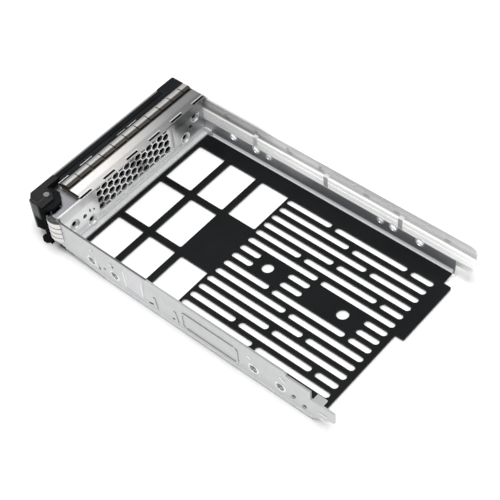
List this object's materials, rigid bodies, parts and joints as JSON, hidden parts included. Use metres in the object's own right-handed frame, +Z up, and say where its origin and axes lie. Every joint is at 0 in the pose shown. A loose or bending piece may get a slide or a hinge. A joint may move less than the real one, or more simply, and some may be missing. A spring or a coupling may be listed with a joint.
{
  "type": "hot swap drive caddy",
  "caption": "Steel tray for a server drive: slotted black base plate, bent side rails, honeycomb vent plate, spring fingers, swinging latch lever, release button and light pipes.",
  "frame": {"origin": "centre of the footprint, on the underside of the rail feet", "axes": "+Z up, -Y out of the front handle, +X towards the lever's hinge"},
  "size_m": [0.1084, 0.1914, 0.0276],
  "materials": {
    "black_plate": "matte",
    "galvanised_rail": "satin",
    "galvanised_front": "satin",
    "finger_steel": "satin",
    "pin_steel": "satin",
    "spring_steel": "satin",
    "lever_plastic": "matte",
    "bezel_plastic": "matte",
    "button_plastic": "matte",
    "clear_plastic": "gloss"
  },
  "bodies": {
    "carrier": {"base_plate": "black_plate", "near_rail": "galvanised_rail", "far_rail": "galvanised_rail", "vent_plate": "galvanised_front", "front_cover": "galvanised_front", "front_pan": "galvanised_front", "hinge_pin": "pin_steel", "lever_spring": "spring_steel", "front_bezel": "bezel_plastic", "button_retainer": "bezel_plastic", "button_spring": "spring_steel", "pipe_clips": "pin_steel", "bezel_screws": "pin_steel", "top_fingers": "finger_steel", "bottom_fingers": "finger_steel", "side_fingers": "finger_steel", "light_pipe_lower": "clear_plastic", "light_pipe_upper": "clear_plastic"},
    "lever": {"handle_lever": "lever_plastic"},
    "button": {"release_button": "button_plastic"}
  },
  "joints": [
    {"name": "lever_hinge", "type": "hinge", "parent": "carrier", "child": "lever", "pos_m": [0.0449, -0.08635, 0.0138], "axis": [0, 0, 1], "range_deg": [0, 60]},
    {"name": "button_slide", "type": "slide", "parent": "carrier", "child": "button", "axis": [0, 1, 0], "range_m": [0, 0.0016], "stiffness_N_per_m": 300}
  ]
}
